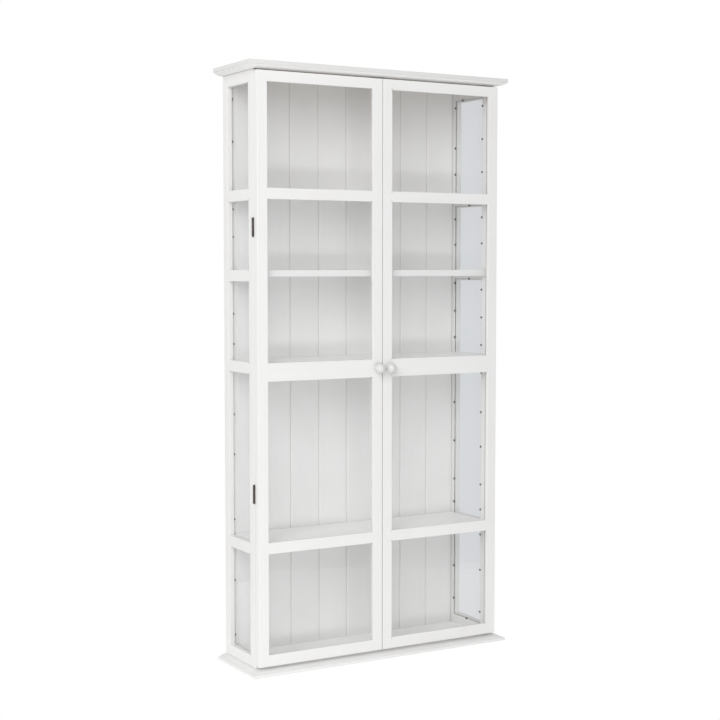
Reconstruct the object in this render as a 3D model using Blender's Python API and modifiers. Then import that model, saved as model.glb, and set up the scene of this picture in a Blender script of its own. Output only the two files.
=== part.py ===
"""A two-door glazed curio cabinet of white painted wood, in metres with +Z up.

The origin is on the floor, under the middle of the plan, and the plan takes in the knobs.
The doors hang in front of the carcass on butt hinges whose knuckles stand at its outer corners.
"""

import math

import bmesh
import bpy
from mathutils import Vector

# ---------------------------------------------------------------- driving dimensions
# Carcass: two glazed side frames between a base board and a top board.
CARCASS_WIDTH = 0.774
CARCASS_DEPTH = 0.190
SIDE_THICKNESS = 0.019
FRONT_POST = 0.031
REAR_POST = 0.028
SIDE_RAIL = 0.031
SIDE_TOP_RAIL = 0.0325

# Clear heights of the five compartments, from the floor board up, and the shelves between them.
COMPARTMENT_HEIGHTS = (0.3225, 0.4725, 0.2305, 0.199, 0.3145)
SHELF_THICKNESS = 0.018
SHELF_SETBACK = 0.002

# Base and top boards: a square edge and a thumb moulding that dies into the side frames.
BASE_THICKNESS = 0.015
BASE_SQUARE_EDGE = 0.008
BASE_SIDE_OVERHANG = 0.025
BASE_FRONT_OVERHANG = 0.020
TOP_THICKNESS = 0.020
TOP_SQUARE_EDGE = 0.0115
TOP_SIDE_OVERHANG = 0.0285
TOP_FRONT_OVERHANG = 0.0115
MOULDING_FULLNESS = 1.6
MOULDING_STEPS = 5

# Back: upright tongued and grooved boards.
BACK_BOARDS = 8
BACK_THICKNESS = 0.008
BACK_BEVEL = 0.0024
TONGUE_LENGTH = 0.004
TONGUE_THICKNESS = 0.002

# Doors: two stiles, two end rails and three glazing rails each.
DOOR_THICKNESS = 0.021
DOOR_STANDOFF = 0.002
DOOR_BOTTOM_CLEARANCE = 0.007
DOOR_TOP_CLEARANCE = 0.0045
MEETING_GAP = 0.002
DOOR_STILE = 0.030
DOOR_TOP_RAIL = 0.029
DOOR_BOTTOM_RAIL = 0.0315
# Each glazing rail: its name, the shelf it covers, its height, and its rise above that shelf's top.
GLAZING_RAILS = (
    ("lower_rail", 0, 0.031, 0.005),
    ("lock_rail", 1, 0.050, 0.0),
    ("upper_rail", 3, 0.030, 0.0015),
)

# Glass, bedded in rebates that are open to the inside.
GLASS_THICKNESS = 0.003
REBATE_WIDTH = 0.005
SIDE_REBATE_DEPTH = 0.0045
DOOR_REBATE_DEPTH = 0.0105
GLASS_PLAY = 0.0005

# Butt hinges: the leaves are let into the door and the front post.
HINGE_HEIGHT = 0.051
KNUCKLE_RADIUS = 0.003
KNUCKLES = 5
HINGE_PIN_RADIUS = 0.0014
LEAF_WIDTH = 0.013
LEAF_THICKNESS = 0.0012
LEAF_OFFSET = 0.0003
UPPER_HINGE_DROP = 0.103
LOWER_HINGE_RISE = 0.137

# Knobs on the lock rail, and the double catch under the top board.
KNOB_RADIUS = 0.0145
KNOB_PROJECTION = 0.032
KNOB_NECK_RADIUS = 0.0065
KNOB_FOOT_RADIUS = 0.0085
KNOB_FOOT_HEIGHT = 0.003
KNOB_FOOT_EASE = 0.0006
KNOB_RINGS = 11
KNOB_SIDES = 24
KNOB_SPACING = 0.036
CATCH_SIZE = (0.046, 0.018, 0.012)
CATCH_PAD_SIZE = (0.013, 0.0015, 0.008)
CATCH_PAD_SPACING = 0.026

# Fits: the air between pieces that touch, the play in the hinge barrels, and the eased edges.
TOUCHING_GAP = 0.0003
KNUCKLE_PLAY = 0.0004
EASED_EDGE = 0.0009
CUTTER_OVERRUN = 0.004
ROUND_SIDES = 20
PARALLEL = 0.99

# ---------------------------------------------------------------- places that follow from them
total_depth = CARCASS_DEPTH + DOOR_STANDOFF + DOOR_THICKNESS + KNOB_PROJECTION
rear_y = total_depth / 2
carcass_front_y = rear_y - CARCASS_DEPTH
door_back_y = carcass_front_y - DOOR_STANDOFF
door_front_y = door_back_y - DOOR_THICKNESS
back_front_y = rear_y - BACK_THICKNESS
side_x = CARCASS_WIDTH / 2
inner_x = side_x - SIDE_THICKNESS

floor_z = BASE_THICKNESS
shelf_tops = []
level = floor_z
for clear_height in COMPARTMENT_HEIGHTS[:-1]:
    level += clear_height + SHELF_THICKNESS
    shelf_tops.append(level)
ceiling_z = level + COMPARTMENT_HEIGHTS[-1]
door_bottom_z = floor_z + DOOR_BOTTOM_CLEARANCE
door_top_z = ceiling_z - DOOR_TOP_CLEARANCE

hinge_x = side_x + KNUCKLE_RADIUS
hinge_y = carcass_front_y - DOOR_STANDOFF / 2
hinge_levels = {
    "lower": shelf_tops[0] + LOWER_HINGE_RISE,
    "upper": shelf_tops[-1] - UPPER_HINGE_DROP,
}
LEFT = -1
RIGHT = 1
SIDES = {"left": LEFT, "right": RIGHT}

# ---------------------------------------------------------------- a clean scene
for old in list(bpy.data.objects):
    bpy.data.objects.remove(old, do_unlink=True)
parts = bpy.data.collections.new("curio_cabinet")
cutters = bpy.data.collections.new("curio_cabinet_cutters")
bpy.context.scene.collection.children.link(parts)
bpy.context.scene.collection.children.link(cutters)
cutters.hide_render = True


def finish(name, colour, roughness, metallic=0.0, transmission=0.0):
    """A plain material for one kind of stock."""
    material = bpy.data.materials.new(name)
    material.use_nodes = True
    shader = material.node_tree.nodes["Principled BSDF"]
    shader.inputs["Base Color"].default_value = (*colour, 1.0)
    shader.inputs["Roughness"].default_value = roughness
    shader.inputs["Metallic"].default_value = metallic
    shader.inputs["Transmission Weight"].default_value = transmission
    material.diffuse_color = (*colour, 1.0)
    return material


white_paint = finish("white_paint", (0.83, 0.82, 0.80), 0.45)
clear_glass = finish("clear_glass", (0.80, 0.86, 0.85), 0.05, transmission=1.0)
dark_bronze = finish("dark_bronze", (0.10, 0.08, 0.07), 0.40, metallic=0.9)
catch_plastic = finish("catch_plastic", (0.75, 0.74, 0.71), 0.50)


# ---------------------------------------------------------------- ways of making a piece
def add_object(name, bm, material=None):
    """The mesh as an object: a part where it has a material, and a cutter where it has none."""
    bmesh.ops.recalc_face_normals(bm, faces=bm.faces)
    mesh = bpy.data.meshes.new(name)
    bm.to_mesh(mesh)
    bm.free()
    obj = bpy.data.objects.new(name, mesh)
    if material is None:
        cutters.objects.link(obj)
        obj.hide_render = True
        obj.display_type = "WIRE"
    else:
        parts.objects.link(obj)
        mesh.materials.append(material)
    return obj


def add_box(bm, low, high):
    """A box between two corners, added to the mesh."""
    low, high = Vector(low), Vector(high)
    verts = bmesh.ops.create_cube(bm, size=1.0)["verts"]
    bmesh.ops.scale(bm, verts=verts, vec=high - low)
    bmesh.ops.translate(bm, verts=verts, vec=(low + high) / 2)


def boxes(name, corners, material=None):
    """One object of boxes that stay clear of each other, each given by two corners."""
    bm = bmesh.new()
    for low, high in corners:
        add_box(bm, low, high)
    return add_object(name, bm, material)


def bar(name, low, high, along, material=white_paint):
    """A squared bar between two corners, with the four edges that run along one axis eased."""
    bm = bmesh.new()
    add_box(bm, low, high)
    long_edges = [
        edge for edge in bm.edges
        if abs((edge.verts[1].co - edge.verts[0].co).normalized()[along]) > PARALLEL
    ]
    bmesh.ops.bevel(
        bm, geom=long_edges, offset=EASED_EDGE, segments=2, profile=0.5, affect="EDGES"
    )
    obj = add_object(name, bm, material)
    centre = (Vector(low) + Vector(high)) / 2
    obj.data.transform(obj.matrix_world.Translation(-centre))
    obj.location = centre
    return obj


def extruded(name, outline, bottom, top, material):
    """A flat outline in plan, carried up from one level to another."""
    bm = bmesh.new()
    face = bm.faces.new([bm.verts.new((x, y, bottom)) for x, y in outline])
    made = bmesh.ops.extrude_face_region(bm, geom=[face])["geom"]
    moved = [item for item in made if isinstance(item, bmesh.types.BMVert)]
    bmesh.ops.translate(bm, verts=moved, vec=(0.0, 0.0, top - bottom))
    return add_object(name, bm, material)


def combine(obj, other, operation):
    """A Boolean of one object with another, which is kept as a wire helper."""
    modifier = obj.modifiers.new(other.name, "BOOLEAN")
    modifier.operation = operation
    modifier.object = other
    modifier.solver = "EXACT"


def upright_cylinders(name, x, y, radius, spans):
    """A helper of cylinders that stand on one axis, each from one level to another."""
    bm = bmesh.new()
    for bottom, top in spans:
        verts = bmesh.ops.create_cone(
            bm, cap_ends=True, segments=ROUND_SIDES, radius1=radius, radius2=radius,
            depth=top - bottom,
        )["verts"]
        bmesh.ops.translate(bm, verts=verts, vec=(x, y, (bottom + top) / 2))
    return add_object(name, bm)


# ---------------------------------------------------------------- base and top boards
def thumb_moulding(width, rise):
    """Inset and height of each point of the moulding, from its outer arris inwards."""
    steps = [index / MOULDING_STEPS for index in range(MOULDING_STEPS + 1)]
    return [(width * step, rise * (1 - (1 - step) ** MOULDING_FULLNESS)) for step in steps]


def moulded_board(name, outer_level, moulded_levels, side_overhang, front_overhang):
    """A board moulded on its front and both ends, and square at the rear."""
    levels = [(0.0, outer_level), *moulded_levels]
    bm = bmesh.new()
    loops = []
    for inset, z in levels:
        x = side_x + side_overhang - inset
        front = door_front_y - front_overhang + inset
        corners = [(-x, front), (x, front), (x, rear_y), (-x, rear_y)]
        loops.append([bm.verts.new((*corner, z)) for corner in corners])
    for lower, upper in zip(loops, loops[1:]):
        for index in range(4):
            following = (index + 1) % 4
            bm.faces.new((lower[index], lower[following], upper[following], upper[index]))
    bm.faces.new(loops[0])
    bm.faces.new(loops[-1])
    return add_object(name, bm, white_paint)


base_curve = thumb_moulding(BASE_SIDE_OVERHANG, BASE_THICKNESS - BASE_SQUARE_EDGE)
moulded_board(
    "base_board", 0.0, [(inset, BASE_SQUARE_EDGE + rise) for inset, rise in base_curve],
    BASE_SIDE_OVERHANG, BASE_FRONT_OVERHANG,
)
top_z = ceiling_z + TOP_THICKNESS
top_curve = thumb_moulding(TOP_SIDE_OVERHANG, TOP_THICKNESS - TOP_SQUARE_EDGE)
moulded_board(
    "top_board", top_z, [(inset, top_z - TOP_SQUARE_EDGE - rise) for inset, rise in top_curve],
    TOP_SIDE_OVERHANG, TOP_FRONT_OVERHANG,
)

# ---------------------------------------------------------------- side frames
frame_bottom_z = floor_z + TOUCHING_GAP
frame_top_z = ceiling_z - TOUCHING_GAP
pane_front_y = carcass_front_y + FRONT_POST
pane_rear_y = rear_y - REAR_POST
side_pane_levels = list(
    zip(
        [floor_z + SIDE_RAIL, *shelf_tops],
        [top - SIDE_RAIL for top in shelf_tops] + [ceiling_z - SIDE_TOP_RAIL],
    )
)


def across(side, near, far):
    """Two distances from the middle of the cabinet, as lowest and highest X on one side."""
    return sorted((side * near, side * far))


def leaf_recess(side, y_low, y_high, name):
    """The shallow recesses for both hinge leaves of one side, as one helper."""
    low_x, high_x = across(side, side_x - LEAF_WIDTH - TOUCHING_GAP, side_x + CUTTER_OVERRUN)
    half = HINGE_HEIGHT / 2 + TOUCHING_GAP
    return boxes(
        name,
        [
            ((low_x, y_low, level - half), (high_x, y_high, level + half))
            for level in hinge_levels.values()
        ],
    )


leaf_depth = LEAF_OFFSET + LEAF_THICKNESS + TOUCHING_GAP
for word, side in SIDES.items():
    low_x, high_x = across(side, inner_x, side_x)
    frame = boxes(
        f"side_frame_{word}",
        [((low_x, carcass_front_y, frame_bottom_z), (high_x, rear_y, frame_top_z))],
        white_paint,
    )
    hole_x = across(side, inner_x - CUTTER_OVERRUN, side_x + CUTTER_OVERRUN)
    openings = boxes(
        f"side_openings_{word}",
        [
            ((hole_x[0], pane_front_y, bottom), (hole_x[1], pane_rear_y, top))
            for bottom, top in side_pane_levels
        ],
    )
    rebate_x = across(side, inner_x - CUTTER_OVERRUN, inner_x + SIDE_REBATE_DEPTH)
    rebates = boxes(
        f"side_rebates_{word}",
        [
            (
                (rebate_x[0], pane_front_y - REBATE_WIDTH, bottom - REBATE_WIDTH),
                (rebate_x[1], pane_rear_y + REBATE_WIDTH, top + REBATE_WIDTH),
            )
            for bottom, top in side_pane_levels
        ],
    )
    combine(frame, openings, "DIFFERENCE")
    combine(frame, rebates, "DIFFERENCE")
    recess = leaf_recess(
        side, carcass_front_y - CUTTER_OVERRUN, hinge_y + leaf_depth, f"post_recesses_{word}"
    )
    combine(frame, recess, "DIFFERENCE")
    easing = frame.modifiers.new("eased edges", "BEVEL")
    easing.width = EASED_EDGE / 2
    easing.segments = 1
    easing.limit_method = "ANGLE"

    # One pane to each opening, bedded against the lip of its rebate.
    glass_outer = inner_x + SIDE_REBATE_DEPTH - TOUCHING_GAP
    glass_x = across(side, glass_outer - GLASS_THICKNESS, glass_outer)
    reach = REBATE_WIDTH - GLASS_PLAY
    for number, (bottom, top) in enumerate(side_pane_levels, start=1):
        boxes(
            f"side_glass_{word}_{number}",
            [
                (
                    (glass_x[0], pane_front_y - reach, bottom - reach),
                    (glass_x[1], pane_rear_y + reach, top + reach),
                )
            ],
            clear_glass,
        )

# ---------------------------------------------------------------- shelves
for number, top in enumerate(shelf_tops, start=1):
    half_length = inner_x - TOUCHING_GAP
    bar(
        f"shelf_{number}",
        (-half_length, carcass_front_y + SHELF_SETBACK, top - SHELF_THICKNESS),
        (half_length, back_front_y - TOUCHING_GAP, top),
        0,
    )

# ---------------------------------------------------------------- back boards
board_pitch = 2 * inner_x / BACK_BOARDS
tongue_front = back_front_y + (BACK_THICKNESS - TONGUE_THICKNESS) / 2
tongue_back = tongue_front + TONGUE_THICKNESS
half_gap = TOUCHING_GAP / 2
for index in range(BACK_BOARDS):
    left = -inner_x + index * board_pitch + half_gap
    right = left + board_pitch - 2 * half_gap
    outline = [(left + BACK_BEVEL, back_front_y), (right - BACK_BEVEL, back_front_y)]
    outline.append((right, back_front_y + BACK_BEVEL))
    if index < BACK_BOARDS - 1:
        tip = right + TONGUE_LENGTH
        outline += [(right, tongue_front), (tip, tongue_front), (tip, tongue_back), (right, tongue_back)]
    outline += [(right, rear_y), (left, rear_y)]
    if index > 0:
        slot_front, slot_back = tongue_front - TOUCHING_GAP, tongue_back + TOUCHING_GAP
        slot_end = left + TONGUE_LENGTH + TOUCHING_GAP
        outline += [(left, slot_back), (slot_end, slot_back), (slot_end, slot_front), (left, slot_front)]
    outline.append((left, back_front_y + BACK_BEVEL))
    extruded(f"back_board_{index + 1}", outline, frame_bottom_z, frame_top_z, white_paint)

# ---------------------------------------------------------------- doors
pane_bottoms = [door_bottom_z + DOOR_BOTTOM_RAIL]
pane_tops = []
rail_spans = [("bottom_rail", door_bottom_z, door_bottom_z + DOOR_BOTTOM_RAIL)]
for rail_name, shelf_index, height, rise in GLAZING_RAILS:
    rail_top = shelf_tops[shelf_index] + rise
    rail_spans.append((rail_name, rail_top - height, rail_top))
    pane_tops.append(rail_top - height)
    pane_bottoms.append(rail_top)
pane_tops.append(door_top_z - DOOR_TOP_RAIL)
rail_spans.append(("top_rail", door_top_z - DOOR_TOP_RAIL, door_top_z))
door_panes = list(zip(pane_bottoms, pane_tops))
knob_z = shelf_tops[1] + GLAZING_RAILS[1][3] - GLAZING_RAILS[1][2] / 2


def knob_profile():
    """Radius and height of the turned knob, from the crown down its outer side to its foot."""
    ball_centre = KNOB_PROJECTION - KNOB_RADIUS
    neck_angle = math.asin(KNOB_NECK_RADIUS / KNOB_RADIUS)
    points = []
    for step in range(KNOB_RINGS + 1):
        angle = (math.pi - neck_angle) * step / KNOB_RINGS
        points.append((KNOB_RADIUS * math.sin(angle), ball_centre + KNOB_RADIUS * math.cos(angle)))
    points.append((KNOB_FOOT_RADIUS - 2 * KNOB_FOOT_EASE, KNOB_FOOT_HEIGHT + KNOB_FOOT_EASE))
    points.append((KNOB_FOOT_RADIUS, KNOB_FOOT_HEIGHT - KNOB_FOOT_EASE))
    points.append((KNOB_FOOT_RADIUS, 0.0))
    points.append((0.0, 0.0))
    return points


def turned_knob(name, x):
    """A ball knob turned about the line on which it stands out from the door."""
    mesh = bpy.data.meshes.new(name)
    points = [(radius, 0.0, height) for radius, height in knob_profile()]
    mesh.from_pydata(points, [(index, index + 1) for index in range(len(points) - 1)], [])
    knob = bpy.data.objects.new(name, mesh)
    parts.objects.link(knob)
    mesh.materials.append(white_paint)
    turning = knob.modifiers.new("turning", "SCREW")
    turning.steps = turning.render_steps = KNOB_SIDES
    turning.use_merge_vertices = True
    turning.merge_threshold = 0.00001
    turning.use_smooth_shade = True
    knob.rotation_euler = (math.pi / 2, 0.0, 0.0)
    knob.location = (x, door_front_y - TOUCHING_GAP, knob_z)
    return knob


for word, side in SIDES.items():
    axis = bpy.data.objects.new(f"door_{word}_axis", None)
    axis.location = (side * hinge_x, hinge_y, (door_bottom_z + door_top_z) / 2)
    axis.empty_display_size = HINGE_HEIGHT
    parts.objects.link(axis)
    pieces = []

    outer_edge = side_x
    meeting_edge = MEETING_GAP / 2
    stile_spans = {
        "hinge_stile": across(side, outer_edge - DOOR_STILE, outer_edge),
        "meeting_stile": across(side, meeting_edge, meeting_edge + DOOR_STILE),
    }
    pane_x = across(side, meeting_edge + DOOR_STILE, outer_edge - DOOR_STILE)
    rebates = boxes(
        f"door_rebates_{word}",
        [
            (
                (pane_x[0] - REBATE_WIDTH, door_back_y - DOOR_REBATE_DEPTH, bottom - REBATE_WIDTH),
                (pane_x[1] + REBATE_WIDTH, door_back_y + CUTTER_OVERRUN, top + REBATE_WIDTH),
            )
            for bottom, top in door_panes
        ],
    )
    for stile_name, (low_x, high_x) in stile_spans.items():
        stile = bar(
            f"door_{word}_{stile_name}",
            (low_x, door_front_y, door_bottom_z),
            (high_x, door_back_y, door_top_z),
            2,
        )
        combine(stile, rebates, "DIFFERENCE")
        pieces.append(stile)
        if stile_name == "hinge_stile":
            recess = leaf_recess(
                side, hinge_y - leaf_depth, door_back_y + CUTTER_OVERRUN, f"stile_recesses_{word}"
            )
            combine(stile, recess, "DIFFERENCE")
    for rail_name, bottom, top in rail_spans:
        rail = bar(
            f"door_{word}_{rail_name}",
            (pane_x[0] + TOUCHING_GAP, door_front_y, bottom),
            (pane_x[1] - TOUCHING_GAP, door_back_y, top),
            0,
        )
        combine(rail, rebates, "DIFFERENCE")
        pieces.append(rail)

    glass_front = door_back_y - DOOR_REBATE_DEPTH + TOUCHING_GAP
    reach = REBATE_WIDTH - GLASS_PLAY
    for number, (bottom, top) in enumerate(door_panes, start=1):
        pane = boxes(
            f"door_{word}_glass_{number}",
            [
                (
                    (pane_x[0] - reach, glass_front, bottom - reach),
                    (pane_x[1] + reach, glass_front + GLASS_THICKNESS, top + reach),
                )
            ],
            clear_glass,
        )
        pieces.append(pane)
    pieces.append(turned_knob(f"knob_{word}", side * KNOB_SPACING / 2))

    # Butt hinges. Odd knuckles and the pin belong to the post's leaf, even ones to the door's.
    knuckle_pitch = HINGE_HEIGHT / KNUCKLES
    for place, level in hinge_levels.items():
        hinge_bottom = level - HINGE_HEIGHT / 2
        spans = [
            (hinge_bottom + index * knuckle_pitch, hinge_bottom + (index + 1) * knuckle_pitch)
            for index in range(KNUCKLES)
        ]
        short_spans = [
            (bottom + KNUCKLE_PLAY / 2, top - KNUCKLE_PLAY / 2) for bottom, top in spans
        ]
        for leaf_name, first, facing in (("post_leaf", 0, 1), ("door_leaf", 1, -1)):
            name = f"hinge_{word}_{place}_{leaf_name}"
            leaf_x = across(side, side_x - LEAF_WIDTH, hinge_x)
            leaf_y = sorted(
                (hinge_y + facing * LEAF_OFFSET, hinge_y + facing * (LEAF_OFFSET + LEAF_THICKNESS))
            )
            leaf = boxes(
                name,
                [
                    (
                        (leaf_x[0], leaf_y[0], hinge_bottom + KNUCKLE_PLAY / 2),
                        (leaf_x[1], leaf_y[1], hinge_bottom + HINGE_HEIGHT - KNUCKLE_PLAY / 2),
                    )
                ],
                dark_bronze,
            )
            notch_x = across(side, side_x - KNUCKLE_PLAY, hinge_x + CUTTER_OVERRUN)
            notches = boxes(
                f"{name}_notches",
                [
                    (
                        (notch_x[0], leaf_y[0] - CUTTER_OVERRUN, bottom - KNUCKLE_PLAY / 2),
                        (notch_x[1], leaf_y[1] + CUTTER_OVERRUN, top + KNUCKLE_PLAY / 2),
                    )
                    for bottom, top in spans[1 - first :: 2]
                ],
            )
            knuckles = upright_cylinders(
                f"{name}_knuckles", side * hinge_x, hinge_y, KNUCKLE_RADIUS, short_spans[first::2]
            )
            combine(leaf, notches, "DIFFERENCE")
            combine(leaf, knuckles, "UNION")
            if leaf_name == "post_leaf":
                pin = upright_cylinders(
                    f"{name}_pin", side * hinge_x, hinge_y, HINGE_PIN_RADIUS,
                    [(spans[0][0] - KNUCKLE_PLAY, spans[-1][1] + KNUCKLE_PLAY)],
                )
                combine(leaf, pin, "UNION")
            else:
                bore = upright_cylinders(
                    f"{name}_bore", side * hinge_x, hinge_y, HINGE_PIN_RADIUS + KNUCKLE_PLAY,
                    [(spans[0][0] - CUTTER_OVERRUN, spans[-1][1] + CUTTER_OVERRUN)],
                )
                combine(leaf, bore, "DIFFERENCE")
                pieces.append(leaf)

    # Everything that swings with the door is parented to its axis.
    bpy.context.view_layer.update()
    for piece in pieces:
        piece.parent = axis
        piece.matrix_parent_inverse = axis.matrix_world.inverted()

# ---------------------------------------------------------------- double catch
catch_width, catch_depth, catch_height = CATCH_SIZE
pad_width, pad_depth, pad_height = CATCH_PAD_SIZE
catch_front = carcass_front_y + SHELF_SETBACK + pad_depth
catch_top = ceiling_z - TOUCHING_GAP
catch = boxes(
    "double_catch",
    [
        (
            (-catch_width / 2, catch_front, catch_top - catch_height),
            (catch_width / 2, catch_front + catch_depth, catch_top),
        )
    ],
    catch_plastic,
)
pad_middle = catch_top - catch_height / 2
pads = boxes(
    "catch_pads",
    [
        (
            (x - pad_width / 2, catch_front - pad_depth, pad_middle - pad_height / 2),
            (x + pad_width / 2, catch_front + pad_depth, pad_middle + pad_height / 2),
        )
        for x in (-CATCH_PAD_SPACING / 2, CATCH_PAD_SPACING / 2)
    ],
)
combine(catch, pads, "UNION")
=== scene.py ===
"""A two-door glazed curio cabinet: its timber, glass, fittings and finishes, in metres with +Z up.

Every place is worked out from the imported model's own boxes. The meshes are made where the pieces
stand, so an object's own coordinates are also the cabinet's.
"""

import math

import bmesh
import bpy
from mathutils import Matrix, Vector


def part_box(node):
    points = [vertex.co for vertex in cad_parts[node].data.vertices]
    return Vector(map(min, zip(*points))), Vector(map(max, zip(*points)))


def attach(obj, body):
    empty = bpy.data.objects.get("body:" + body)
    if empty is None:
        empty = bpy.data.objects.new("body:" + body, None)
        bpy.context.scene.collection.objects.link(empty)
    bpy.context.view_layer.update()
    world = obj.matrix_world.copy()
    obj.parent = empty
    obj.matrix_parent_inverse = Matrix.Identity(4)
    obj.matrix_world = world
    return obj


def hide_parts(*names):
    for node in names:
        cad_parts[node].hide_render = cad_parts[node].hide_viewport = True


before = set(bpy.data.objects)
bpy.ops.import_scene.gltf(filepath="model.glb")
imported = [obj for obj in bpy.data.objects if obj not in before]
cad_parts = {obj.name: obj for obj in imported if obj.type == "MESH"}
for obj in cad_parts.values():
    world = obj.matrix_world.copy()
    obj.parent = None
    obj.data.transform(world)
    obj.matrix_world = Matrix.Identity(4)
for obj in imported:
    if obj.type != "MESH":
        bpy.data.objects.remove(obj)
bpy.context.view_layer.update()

# ---------------------------------------------------------------- base board
# One board of painted wood under the whole cabinet, on the floor. Its front and ends are run with a
# rounded nose and a long, nearly flat thumb moulding that climbs to the side frames; the rear is square.


def new_group(name, inputs, outputs):
    """An empty shader node group with named sockets, and its input and output nodes."""
    group = bpy.data.node_groups.new(name, "ShaderNodeTree")
    for in_out, sockets in (("INPUT", inputs), ("OUTPUT", outputs)):
        for socket_name, kind, *value in sockets:
            socket = group.interface.new_socket(socket_name, in_out=in_out, socket_type=kind)
            if value:
                socket.default_value = value[0]
    return group, group.nodes.new("NodeGroupInput"), group.nodes.new("NodeGroupOutput")


def add_node(tree, kind, links=(), **settings):
    """A node with its settings, its plain input values, and its inputs linked from other sockets."""
    node = tree.nodes.new(kind)
    for key, value in settings.items():
        setattr(node, key, value)
    for key, source in dict(links).items():
        if isinstance(source, bpy.types.NodeSocket):
            tree.links.new(source, node.inputs[key])
        else:
            node.inputs[key].default_value = source
    return node


def smooth_step(tree, value, start, end):
    """A mask that rises smoothly from 0 to 1 as the value goes from start to end."""
    ramp = add_node(
        tree, "ShaderNodeMapRange", {"Value": value, "From Min": start, "From Max": end},
        interpolation_type="SMOOTHSTEP",
    )
    return ramp.outputs["Result"]


def blend_colour(tree, share, first, second):
    """A mix of two colours."""
    mix = add_node(tree, "ShaderNodeMix", data_type="RGBA")
    for socket, source in ((mix.inputs[0], share), (mix.inputs[6], first), (mix.inputs[7], second)):
        if isinstance(source, bpy.types.NodeSocket):
            tree.links.new(source, socket)
        else:
            socket.default_value = source
    return mix.outputs[2]


def arithmetic(tree, operation, first, second):
    """One sum, product or the like of two values or sockets."""
    node = add_node(tree, "ShaderNodeMath", {0: first, 1: second}, operation=operation)
    return node.outputs[0]


# Brushed paint over planed wood. Streaks of grain and brush run along the piece, which Stretch sets;
# here and there a small knot shows through, and the arrises are rubbed a little thin. A scale is how
# many features there are to a metre, and a share is how far that feature shows.
BRUSH_SCALE = 150.0
FINE_GRAIN_SCALE = 900.0
HAND_LAID_SCALE = 9.0
CHIP_SCALE = 380.0
KNOT_CELL_SCALE = 11.0
KNOT_OUTER = 0.045
KNOT_INNER = 0.012
BRUSH_SHARE = 0.6
FINE_GRAIN_SHARE = 0.4
HAND_LAID_SHARE = 0.05
MARKS_DULLING = 0.12
KNOT_SINK = 0.8
brushed_paint, given, made = new_group(
    "brushed paint on wood",
    [
        ("Stretch", "NodeSocketVector", (1.0, 1.0, 0.03)),
        ("Paint", "NodeSocketColor", (0.8, 0.8, 0.8, 1.0)),
        ("Undertone", "NodeSocketColor", (0.6, 0.55, 0.48, 1.0)),
        ("Streaks", "NodeSocketFloat", 0.1),
        ("Knots", "NodeSocketFloat", 0.3),
        ("Wear", "NodeSocketFloat", 0.3),
        ("Gloss", "NodeSocketFloat", 0.4),
    ],
    [
        ("Colour", "NodeSocketColor"),
        ("Roughness", "NodeSocketFloat"),
        ("Height", "NodeSocketFloat"),
    ],
)
place = add_node(brushed_paint, "ShaderNodeTexCoord").outputs["Object"]
along_grain = add_node(
    brushed_paint, "ShaderNodeVectorMath", {0: place, 1: given.outputs["Stretch"]},
    operation="MULTIPLY",
).outputs[0]


def paint_noise(vector, scale, detail):
    """A noise in the paint, whose features are one part in scale of a metre across."""
    node = add_node(
        brushed_paint, "ShaderNodeTexNoise", {"Vector": vector, "Scale": scale, "Detail": detail}
    )
    return node.outputs["Fac"]


brush_marks = paint_noise(along_grain, BRUSH_SCALE, 3.0)
fine_grain = paint_noise(along_grain, FINE_GRAIN_SCALE, 2.0)
hand_laid = paint_noise(place, HAND_LAID_SCALE, 2.0)
chips = paint_noise(place, CHIP_SCALE, 3.0)
knot_cells = add_node(
    brushed_paint, "ShaderNodeTexVoronoi",
    {"Vector": add_node(
        brushed_paint, "ShaderNodeVectorMath", {0: place, 1: given.outputs["Stretch"]},
        operation="ADD",
    ).outputs[0], "Scale": KNOT_CELL_SCALE},
)
some_cells = smooth_step(brushed_paint, knot_cells.outputs["Color"], 0.55, 0.6)
knot_spots = smooth_step(brushed_paint, knot_cells.outputs["Distance"], KNOT_OUTER, KNOT_INNER)
knots = arithmetic(brushed_paint, "MULTIPLY", knot_spots, some_cells)
arris = add_node(brushed_paint, "ShaderNodeAttribute", attribute_name="arris").outputs["Fac"]
rubbed = arithmetic(
    brushed_paint, "MULTIPLY", arris, smooth_step(brushed_paint, chips, 0.45, 0.68)
)
marks = arithmetic(
    brushed_paint, "ADD",
    arithmetic(brushed_paint, "MULTIPLY", smooth_step(brushed_paint, brush_marks, 0.35, 0.75), BRUSH_SHARE),
    arithmetic(
        brushed_paint, "MULTIPLY", smooth_step(brushed_paint, fine_grain, 0.4, 0.75), FINE_GRAIN_SHARE
    ),
)
thin_paint = arithmetic(
    brushed_paint, "ADD",
    arithmetic(brushed_paint, "MULTIPLY", marks, given.outputs["Streaks"]),
    arithmetic(
        brushed_paint, "MULTIPLY", smooth_step(brushed_paint, hand_laid, 0.45, 0.8), HAND_LAID_SHARE
    ),
)
thin_paint = arithmetic(
    brushed_paint, "ADD", thin_paint,
    arithmetic(brushed_paint, "MULTIPLY", knots, given.outputs["Knots"]),
)
thin_paint = arithmetic(
    brushed_paint, "MAXIMUM", thin_paint,
    arithmetic(brushed_paint, "MULTIPLY", rubbed, given.outputs["Wear"]),
)
brushed_paint.links.new(
    blend_colour(brushed_paint, thin_paint, given.outputs["Paint"], given.outputs["Undertone"]),
    made.inputs["Colour"],
)
brushed_paint.links.new(
    arithmetic(
        brushed_paint, "ADD", given.outputs["Gloss"],
        arithmetic(brushed_paint, "MULTIPLY", marks, MARKS_DULLING),
    ),
    made.inputs["Roughness"],
)
brushed_paint.links.new(
    arithmetic(
        brushed_paint, "SUBTRACT", marks, arithmetic(brushed_paint, "MULTIPLY", knots, KNOT_SINK)
    ),
    made.inputs["Height"],
)

GRAIN_STRETCH = {
    "across": (0.03, 1.0, 1.0),
    "deep": (1.0, 0.03, 1.0),
    "upright": (1.0, 1.0, 0.03),
}
UNDERTONE = (0.52, 0.46, 0.38, 1.0)


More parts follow.
